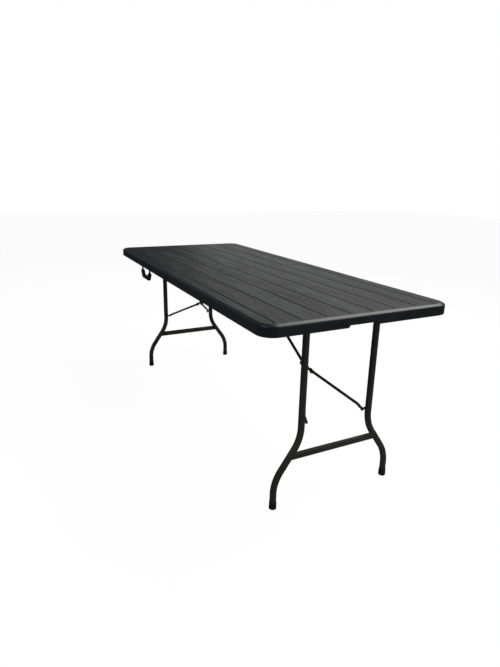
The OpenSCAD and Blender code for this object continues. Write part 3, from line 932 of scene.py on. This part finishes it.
def make_arm(side, end):
    """One brace arm: a flat end at the knuckle, a spreading rod, a bend and an eye at the leg."""
    braces = bpy.context.scene.table_braces
    _, knuckle, line, normal = brace_line()
    node = f"{side}_brace_{end}_arm"
    low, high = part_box("right_brace_rear_arm")
    stud = box_middle("right_brace_studs")
    reach = Vector((stud.x - knuckle.x, 0, stud.z - knuckle.z)).length
    plate_y = low.y + braces.plate_half
    eye_y = high.y - 3.5 * MM
    rod = braces.rod
    eye = 7.5 * MM
    flat = braces.plate_half
    bend = reach - braces.rod_end
    rod_from = 30 * MM
    start_y = low.y + rod + 0.3 * MM
    end_y = high.y - rod - 0.6 * MM
    slope = (end_y - start_y) / (bend - rod_from)
    root_half = (rod * 2 - 0.7 * MM) / 2
    # Distance along the brace and across, half width, half height, squareness
    stations = [
        (-12 * MM, plate_y, flat * 0.6, 2.6 * MM, 4),
        (-11.4 * MM, plate_y, flat, 3.3 * MM, 5),
        (-7.5 * MM, plate_y, flat, 3.5 * MM, 6),
        (-4.5 * MM, plate_y, flat, 5.6 * MM, 6),
        (0, plate_y, flat, 6.5 * MM, 6),
        (19 * MM, plate_y, flat, 5.7 * MM, 6),
        (23 * MM, low.y + root_half * 0.7, root_half * 0.7, 7 * MM, 5),
        (25 * MM, low.y + root_half, root_half, 8 * MM, 5),
        (36 * MM, low.y + root_half + 1.4 * MM, root_half, 8 * MM, 5),
        (39 * MM, start_y + slope * 9 * MM - MM, rod, 6.8 * MM, 3),
        (43 * MM, start_y + slope * 13 * MM, rod, rod, 2),
    ]
    turn = 8 * MM
    for k in range(7):
        t = k / 6
        s = bend - turn + 2 * turn * t
        y = end_y - slope * turn * (1 - t) ** 2
        stations.append((s, y, rod, rod, 2))
    stations += [(reach - 11 * MM, end_y, rod, rod, 2), (reach - 7 * MM, eye_y, 3.6 * MM, 5.2 * MM, 3)]
    for k in range(7):
        a = math.radians(-35 + k * 19)
        stations.append((reach + eye * math.sin(a), eye_y, 3.4 * MM, eye * math.cos(a), 5))
    path = [knuckle + line * s + ACROSS * y for s, y, _, _, _ in stations]
    sections = [rounded_section(v, u, 28, q) for _, _, u, v, q in stations]
    bm = bmesh.new()
    sweep(bm, path, normal, sections)
    place_on(bm, side, end)
    add_piece(bm, node, "rod", f"{side}_wishbone", "coated_steel")


def make_sleeve(side):
    """The locking sleeve: a short rounded box section with soft lips and grip ribs."""
    braces = bpy.context.scene.table_braces
    _, knuckle, line, normal = brace_line()
    node = f"{side}_lock_sleeve"
    low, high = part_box("right_lock_sleeve")
    wall = braces.sleeve_wall
    outer_y = (high.y - low.y) / 2
    outer_h = 9.9 * MM
    middle = (low + high) / 2
    centre = knuckle + line * (middle - knuckle).dot(line)
    half = 9 * MM
    lip = 0.5 * MM
    skin = 0.1 * MM
    dip = 0.5 * MM
    dips = 4
    dip_start = 3 * MM
    dip_pitch = 3.6 * MM
    walls = [(-half, wall * 0.5), (-half + lip, skin)]
    for k in range(dips):
        s = -half + dip_start + k * dip_pitch
        walls += [(s, skin), (s + 0.5 * MM, dip), (s + 1.3 * MM, dip), (s + 1.8 * MM, skin)]
    walls += [(half - lip, skin), (half, wall * 0.5)]
    walls += [(half - lip, wall), (-half + lip, wall)]
    rings = []
    bm = bmesh.new()
    for s, inset in walls:
        section = rounded_section(outer_h - inset, outer_y - inset, 36, 7)
        rings.append(add_ring(bm, [centre + line * s + normal * u + ACROSS * v for u, v in section]))
    bridge(bm, rings, closed=True)
    place_on(bm, side)
    add_piece(bm, node, "ribbed", f"{side}_sleeve", "black_plastic")


# ------------------------------------------------------------------ fixings


def domed_pin(bm, centre, axis, shank, shank_from, shank_to, head, head_height):
    """A pin with a domed head at shank_to, and one at the other end if shank_from is negative."""
    dome = arc(0, shank_to, head, 0, 80, 6, head_height)
    profile = [(shank, shank_from), (shank, shank_to)] + dome
    if shank_from < 0:
        other = [(r, -h) for r, h in reversed(dome)]
        profile = other + [(shank, shank_from), (shank, shank_to)] + dome
    lathe(bm, profile, centre, axis, 32)


def make_brace_pins(side):
    """The strut's pin and the knuckle's rivet, each with two domed heads."""
    braces = bpy.context.scene.table_braces
    fixings = bpy.context.scene.table_fixings
    pivot, knuckle, _, _ = brace_line()
    for kind, place, body in (("strut_pin", pivot, "top"), ("knuckle_rivet", knuckle, "wishbone")):
        low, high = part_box(f"right_{kind}")
        half = (high.y - low.y) / 2 - braces.pin_head_height
        bm = bmesh.new()
        head = (braces.pin_head, braces.pin_head_height)
        domed_pin(bm, place, ACROSS, fixings.rivet, -half, half, *head)
        place_on(bm, side)
        add_piece(bm, f"{side}_{kind}", "domed", f"{side}_{body}", "zinc_fixings")


def make_brace_studs(side):
    """The studs on the legs that the brace arms' eyes sit beside, each with a collar at the leg."""
    low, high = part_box("right_brace_studs")
    middle = (low + high) / 2
    r = (high.x - low.x) / 2
    legs = bpy.context.scene.table_legs
    face = 130.5 * MM
    leg_side = legs.half_top - legs.radius
    profile = arc(r - 0.8 * MM, 0.8 * MM, 0.8 * MM, -90, 0, 4)
    gap = leg_side - face
    collar = r * 1.45
    profile += [(r, gap - 1.6 * MM), (collar, gap - 1.2 * MM)]
    profile += [(collar, gap + 1.5 * MM), (r, gap + 1.5 * MM), (r, high.y - face)]
    bm = bmesh.new()
    for s in (-1, 1):
        lathe(bm, profile, Vector((middle.x, s * face, middle.z)), ACROSS * s, 32)
    place_on(bm, side)
    add_piece(bm, f"{side}_brace_studs", "collared", f"{side}_leg_frame", "zinc_fixings")


def make_hinge_rivets(side):
    """The two rivets that one half's rails turn on, with domed heads."""
    fixings = bpy.context.scene.table_fixings
    node = f"{side}_hinge_rivets"
    _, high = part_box(node)
    hinge = joint(f"centre_fold_{side}_pin")["pos_m"]
    low_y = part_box("rear_hinge_link")[0].y
    head_height = 2 * MM
    bm = bmesh.new()
    for s in (-1, 1):
        centre = Vector((hinge[0], s * high.y, hinge[2]))
        shank = high.y - low_y + 0.3 * MM
        domed_pin(bm, centre, ACROSS * -s, fixings.rivet, 0, shank, fixings.rivet_head, head_height)
    add_piece(bm, node, "domed", f"{side}_top", "zinc_fixings")


def screw_head(fixings):
    """One pan head with a cross recess, pointing along +Z from the origin."""
    bm = bmesh.new()
    r = fixings.screw_head
    h = fixings.screw_head_height
    profile = [(r * 0.5, -3 * MM), (r * 0.5, 0), (r * 0.97, 0)]
    profile += arc(r * 0.45, h * 0.25, r * 0.55, 0, 90, 6, h * 0.75)
    lathe(bm, profile, Vector((0, 0, 0)), UP, 32)
    head = object_from(bm, "head")
    long, thin, deep = r * 0.58, r * 0.13, h * 0.5
    for x, y in ((long, thin), (thin, long)):
        recess = bmesh.new()
        add_box(recess, (-x, -y, deep), (x, y, h + MM))
        combine(head, recess, "DIFFERENCE")
    mesh = head.data
    bpy.data.objects.remove(head)
    return mesh


def make_rail_screws(side):
    """The screws that hold one half's rails."""
    fixings = bpy.context.scene.table_fixings
    low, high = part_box("right_rail_screws")
    rail_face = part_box("right_rear_rail")[0].y
    first = low.x + fixings.screw_head
    step = (high.x - fixings.screw_head - first) / max(fixings.screws - 1, 1)
    head = screw_head(fixings)
    bm = bmesh.new()
    for i in range(fixings.screws):
        for s in (-1, 1):
            before = len(bm.verts)
            bm.from_mesh(head)
            bm.verts.ensure_lookup_table()
            turn = Matrix.Rotation(math.radians(37 * i + 20 * s), 4, "Z")
            lay = Matrix.Rotation(math.radians(90 * s), 4, "X")
            move = Matrix.Translation((first + i * step, s * rail_face, (low.z + high.z) / 2))
            bmesh.ops.transform(bm, matrix=move @ lay @ turn, verts=bm.verts[before:])
    bpy.data.meshes.remove(head)
    place_on(bm, side)
    add_piece(bm, f"{side}_rail_screws", "cross", f"{side}_top", "zinc_fixings")


def make_leg_clips(side):
    """The two clips that hold the stowed legs: a springy arch with lips under a foot plate."""
    legs = bpy.context.scene.table_legs
    fixings = bpy.context.scene.table_fixings
    low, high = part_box("right_leg_clips")
    pivot_z = joint("right_leg_fold")["pos_m"][2]
    r = legs.radius + 0.3 * MM
    out = legs.half_foot + r + 3 * MM
    half = out - legs.half_foot
    lip_z = low.z
    right_half = [(half, high.z), (half, pivot_z), (half - fixings.clip_lip, lip_z + 0.8 * MM)]
    right_half += [(half - 1.4 * MM, lip_z), (r + 0.4 * MM, lip_z), (r, lip_z + 2.5 * MM)]
    outline = right_half + arc(0, pivot_z, r, 0, 180, 20)
    outline += [(-y, z) for y, z in reversed(right_half)]
    bm = bmesh.new()
    for s in (-1, 1):
        rings = []
        edge = 0.5 * MM
        for x, shrink in ((low.x, edge), (low.x + edge, 0), (high.x - edge, 0), (high.x, edge)):
            ring = []
            for y, z in outline:
                inner = math.hypot(y, z - pivot_z) < r + 0.1 * MM
                push = 1 + shrink / half if inner else 1 - shrink / half
                ring.append((x, s * legs.half_foot + y * push, z))
            rings.append(add_ring(bm, ring))
        bridge(bm, rings)
    place_on(bm, side)
    add_piece(bm, f"{side}_leg_clips", "arched", f"{side}_top", "black_plastic")


# ------------------------------------------------------------------ carry handle


def make_handle():
    """The carry handle: one bent bar that swells into an oval grip, with an eye on each arm."""
    handle = bpy.context.scene.table_handle
    pivot = Vector(joint("handle_swing")["pos_m"])
    half = handle.span / 2
    corners = [(-half, 0), (-half, -handle.elbow), (-handle.grip_half, -handle.drop)]
    corners += [(-x, z) for x, z in reversed(corners)]
    path = rounded_path([pivot + ALONG * x + UP * z for x, z in corners], 6 * MM, 5)
    fine = []
    for a, b in zip(path, path[1:]):
        pieces = max(1, round((b - a).length / (3 * MM)))
        fine += [a + (b - a) * k / pieces for k in range(pieces)]
    fine.append(path[-1])
    sections = []
    for p in fine:
        down = pivot.z - p.z
        t = min(max((down / handle.elbow - 0.62) / 0.55, 0), 1)
        t = t * t * (3 - 2 * t)
        half_u = handle.arm + (handle.grip - 0.6 * MM - handle.arm) * t
        half_v = handle.arm + (handle.grip - handle.arm) * t
        ridge = 0.0
        if abs(p.x - pivot.x) < handle.grip_half * 0.86 and t > 0.98:
            ridge = 0.35 * MM * math.sin((p.x - pivot.x) / (11 * MM) * math.pi) ** 2
        sections.append(rounded_section(half_u - ridge, half_v - ridge, 32, 2 + 0.9 * t))
    bm = bmesh.new()
    sweep(bm, fine, ACROSS, sections)
    eye = 5.5 * MM
    edge = 0.8 * MM
    w = handle.arm
    profile = [(3.1 * MM, -w + 0.2 * MM)] + arc(eye - edge, -w + edge, edge, -90, 0, 3)
    profile += arc(eye - edge, w - edge, edge, 0, 90, 3) + [(3.1 * MM, w - 0.2 * MM)]
    for s in (-1, 1):
        lathe(bm, profile, pivot + ALONG * s * half, ALONG, 32)
    add_piece(bm, "carry_handle", "grip", "handle", "handle_plastic")


# ------------------------------------------------------------------ carried-over CAD nodes


STEEL_PAIRS = ("front_rail", "rear_rail", "cross_tie", "strut_bracket", "crossbar")
CARRIED = {
    "coated_steel": [f"{side}_{name}" for name in STEEL_PAIRS for side in SIDES],
    "black_plastic": [f"{side}_crossbar_bushes" for side in SIDES],
    "zinc": ["handle_pins"],
}
CARRIED["coated_steel"] += ["front_hinge_link", "rear_hinge_link"]


def dress_carried_nodes():
    """Gives the CAD nodes whose shape stays as it is their procedural finish."""
    for kind, names in CARRIED.items():
        for name in names:
            for slot in FRAME["nodes"][name].material_slots:
                slot.material = finish(kind)


# ------------------------------------------------------------------ stage

# Name, place, target, size, power setting and colour of each light
LIGHTS = (
    ("overhead_light", (0.4, 1.4, 2.5), (0.4, 0.2, 0.7), (2.0, 1.8), "key_power", (1, 0.99, 0.97)),
    ("front_light", (1.2, -2.0, 2.3), (0.8, -0.2, 0.3), (1.0, 0.8), "front_power", (1, 0.98, 0.95)),
    ("back_light", (-3.2, 2.2, 1.5), (-0.3, 0.1, 0.7), (2.4, 1.4), "back_power", (1, 1, 1)),
    ("end_light", (3.0, 0.9, 1.5), (0.8, 0, 0.6), (1.4, 1.4), "end_power", (0.90, 0.95, 1)),
)
STUDIO_TINT = (0.94, 0.97, 1.0, 1)
FLOOR_REACH = 15.0
FLOOR_CAST = (0.26, 0.26, 0.26, 1)
FLOOR_SHADE = (0.12, 0.12, 0.12, 1)
FLOOR_GLOW = 0.95


def area_light(name, place, target, size, power, colour):
    """A soft rectangular light that points at a target."""
    data = bpy.data.lights.new(name, "AREA")
    data.shape = "RECTANGLE"
    data.size, data.size_y = size
    data.energy = power
    data.color = colour
    lamp = bpy.data.objects.new(name, data)
    lamp.location = place
    lamp.rotation_mode = "QUATERNION"
    lamp.rotation_quaternion = (Vector(target) - Vector(place)).to_track_quat("-Z", "Y")
    bpy.context.scene.collection.objects.link(lamp)


def seen_directly(tree, plain, direct, output):
    """Shows one shader to the camera and another to the table."""
    mix = tree.nodes.new("ShaderNodeMixShader")
    tree.links.new(tree.nodes.new("ShaderNodeLightPath").outputs["Is Camera Ray"], mix.inputs[0])
    tree.links.new(plain, mix.inputs[1])
    tree.links.new(direct, mix.inputs[2])
    tree.links.new(mix.outputs[0], output)


def make_world(ambient):
    """A white surrounding, dimmer for the light that it casts."""
    world = bpy.data.worlds.new("studio")
    bpy.context.scene.world = world
    world.use_nodes = True
    tree = world.node_tree
    cast = tree.nodes["Background"]
    cast.inputs["Color"].default_value = STUDIO_TINT
    cast.inputs["Strength"].default_value = ambient
    seen = add_node(tree, "Background", Color=(1, 1, 1, 1))
    seen_directly(tree, cast.outputs[0], seen.outputs[0], tree.nodes["World Output"].inputs[0])


def make_floor():
    """A plain pale floor that can be looked through from below."""
    bm = bmesh.new()
    r = FLOOR_REACH
    bm.faces.new(add_ring(bm, [(-r, -r, 0), (r, -r, 0), (r, r, 0), (-r, r, 0)]))
    material = bpy.data.materials.new("pale_floor")
    material.use_nodes = True
    tree = material.node_tree
    tree.nodes.remove(tree.nodes["Principled BSDF"])
    cast = add_node(tree, "BsdfDiffuse", Color=FLOOR_CAST)
    glow = add_node(tree, "Emission", Strength=FLOOR_GLOW)
    shade = add_node(tree, "BsdfDiffuse", Color=FLOOR_SHADE)
    both = tree.nodes.new("ShaderNodeAddShader")
    tree.links.new(glow.outputs[0], both.inputs[0])
    tree.links.new(shade.outputs[0], both.inputs[1])
    one_sided = tree.nodes.new("ShaderNodeMixShader")
    tree.links.new(tree.nodes.new("ShaderNodeNewGeometry").outputs["Backfacing"], one_sided.inputs[0])
    clear = tree.nodes.new("ShaderNodeBsdfTransparent")
    tree.links.new(clear.outputs[0], one_sided.inputs[2])
    tree.links.new(one_sided.outputs[0], tree.nodes["Material Output"].inputs["Surface"])
    seen_directly(tree, cast.outputs[0], both.outputs[0], one_sided.inputs[1])
    floor = object_from(bm, "floor", [material])


def make_camera(studio):
    """The camera, from its turn, tilt and roll."""
    turn, tilt, roll = studio.azimuth, studio.elevation, studio.roll
    level = math.cos(tilt)
    back = Vector((math.sin(turn) * level, -math.cos(turn) * level, math.sin(tilt)))
    right = (-back).cross(UP).normalized()
    up = right.cross(-back)
    x_axis = right * math.cos(roll) + up * math.sin(roll)
    y_axis = up * math.cos(roll) - right * math.sin(roll)
    data = bpy.data.cameras.new("camera")
    data.lens = studio.lens
    data.sensor_width = 36
    camera = bpy.data.objects.new("camera", data)
    axes = Matrix((x_axis, y_axis, back)).transposed().to_4x4()
    camera.matrix_world = Matrix.Translation(studio.camera_place) @ axes
    bpy.context.scene.collection.objects.link(camera)
    bpy.context.scene.camera = camera


# ------------------------------------------------------------------ operators


class FOLDINGTABLE_OT_tops(bpy.types.Operator):
    """Build the two halves of the moulded top"""

    bl_idname = "folding_table.tops"
    bl_label = "Moulded top"

    def execute(self, context):
        for side in SIDES:
            make_top(side)
        return {"FINISHED"}


class FOLDINGTABLE_OT_legs(bpy.types.Operator):
    """Build the four bent leg tubes"""

    bl_idname = "folding_table.legs"
    bl_label = "Leg tubes"

    def execute(self, context):
        for side in SIDES:
            for end in ENDS:
                make_leg(side, end)
        return {"FINISHED"}


class FOLDINGTABLE_OT_feet(bpy.types.Operator):
    """Build the four rubber foot caps"""

    bl_idname = "folding_table.feet"
    bl_label = "Foot caps"

    def execute(self, context):
        for side in SIDES:
            for end in ENDS:
                make_foot(side, end)
        return {"FINISHED"}


class FOLDINGTABLE_OT_stretchers(bpy.types.Operator):
    """Build the two stretchers with their weld beads"""

    bl_idname = "folding_table.stretchers"
    bl_label = "Stretchers"

    def execute(self, context):
        for side in SIDES:
            make_stretcher(side)
        return {"FINISHED"}


class FOLDINGTABLE_OT_braces(bpy.types.Operator):
    """Build the struts, brace arms and locking sleeves"""

    bl_idname = "folding_table.braces"
    bl_label = "Braces"

    def execute(self, context):
        for side in SIDES:
            make_strut(side)
            make_sleeve(side)
            for end in ENDS:
                make_arm(side, end)
        return {"FINISHED"}


class FOLDINGTABLE_OT_fixings(bpy.types.Operator):
    """Build the pins, rivets, studs, screws and leg clips"""

    bl_idname = "folding_table.fixings"
    bl_label = "Fixings"

    def execute(self, context):
        for side in SIDES:
            make_brace_pins(side)
            make_brace_studs(side)
            make_hinge_rivets(side)
            make_rail_screws(side)
            make_leg_clips(side)
        return {"FINISHED"}


class FOLDINGTABLE_OT_handle(bpy.types.Operator):
    """Build the carry handle"""

    bl_idname = "folding_table.handle"
    bl_label = "Carry handle"

    def execute(self, context):
        make_handle()
        return {"FINISHED"}


class FOLDINGTABLE_OT_carried(bpy.types.Operator):
    """Give the carried-over CAD nodes their finishes"""

    bl_idname = "folding_table.carried"
    bl_label = "Carried-over parts"

    def execute(self, context):
        dress_carried_nodes()
        return {"FINISHED"}


class FOLDINGTABLE_OT_stage(bpy.types.Operator):
    """Build the floor, the lights and the camera"""

    bl_idname = "folding_table.stage"
    bl_label = "Stage"

    def execute(self, context):
        studio = context.scene.table_studio
        context.scene.view_settings.view_transform = "Standard"
        make_world(studio.ambient)
        make_floor()
        for name, place, target, size, power, colour in LIGHTS:
            area_light(name, place, target, size, getattr(studio, power), colour)
        make_camera(studio)
        return {"FINISHED"}


BUILD_ORDER = (
    FOLDINGTABLE_OT_tops,
    FOLDINGTABLE_OT_legs,
    FOLDINGTABLE_OT_feet,
    FOLDINGTABLE_OT_stretchers,
    FOLDINGTABLE_OT_braces,
    FOLDINGTABLE_OT_fixings,
    FOLDINGTABLE_OT_handle,
    FOLDINGTABLE_OT_carried,
    FOLDINGTABLE_OT_stage,
)


class FOLDINGTABLE_PT_sidebar(bpy.types.Panel):
    """Lists the table's settings and build steps"""

    bl_idname = "FOLDINGTABLE_PT_sidebar"
    bl_label = "Folding table"
    bl_space_type = "VIEW_3D"
    bl_region_type = "UI"
    bl_category = "Table"

    def draw(self, context):
        for key in SETTINGS:
            column = self.layout.box().column()
            group = getattr(context.scene, key)
            for name in group.bl_rna.properties.keys():
                if name not in ("rna_type", "name"):
                    column.prop(group, name)
        for operator in BUILD_ORDER:
            self.layout.operator(operator.bl_idname)


def register():
    """Registers the settings, the operators and the panel."""
    for key, group in SETTINGS.items():
        bpy.utils.register_class(group)
        setattr(bpy.types.Scene, key, PointerProperty(type=group))
    for operator in BUILD_ORDER:
        bpy.utils.register_class(operator)
    bpy.utils.register_class(FOLDINGTABLE_PT_sidebar)


def unregister():
    """Takes back everything that register made."""
    bpy.utils.unregister_class(FOLDINGTABLE_PT_sidebar)
    for operator in reversed(BUILD_ORDER):
        bpy.utils.unregister_class(operator)
    for key, group in reversed(SETTINGS.items()):
        delattr(bpy.types.Scene, key)
        bpy.utils.unregister_class(group)


def main():
    """Registers the add-on and builds the table in order."""
    register()
    for operator in BUILD_ORDER:
        group, name = operator.bl_idname.split(".")
        getattr(getattr(bpy.ops, group), name)()


if __name__ == "__main__":
    main()
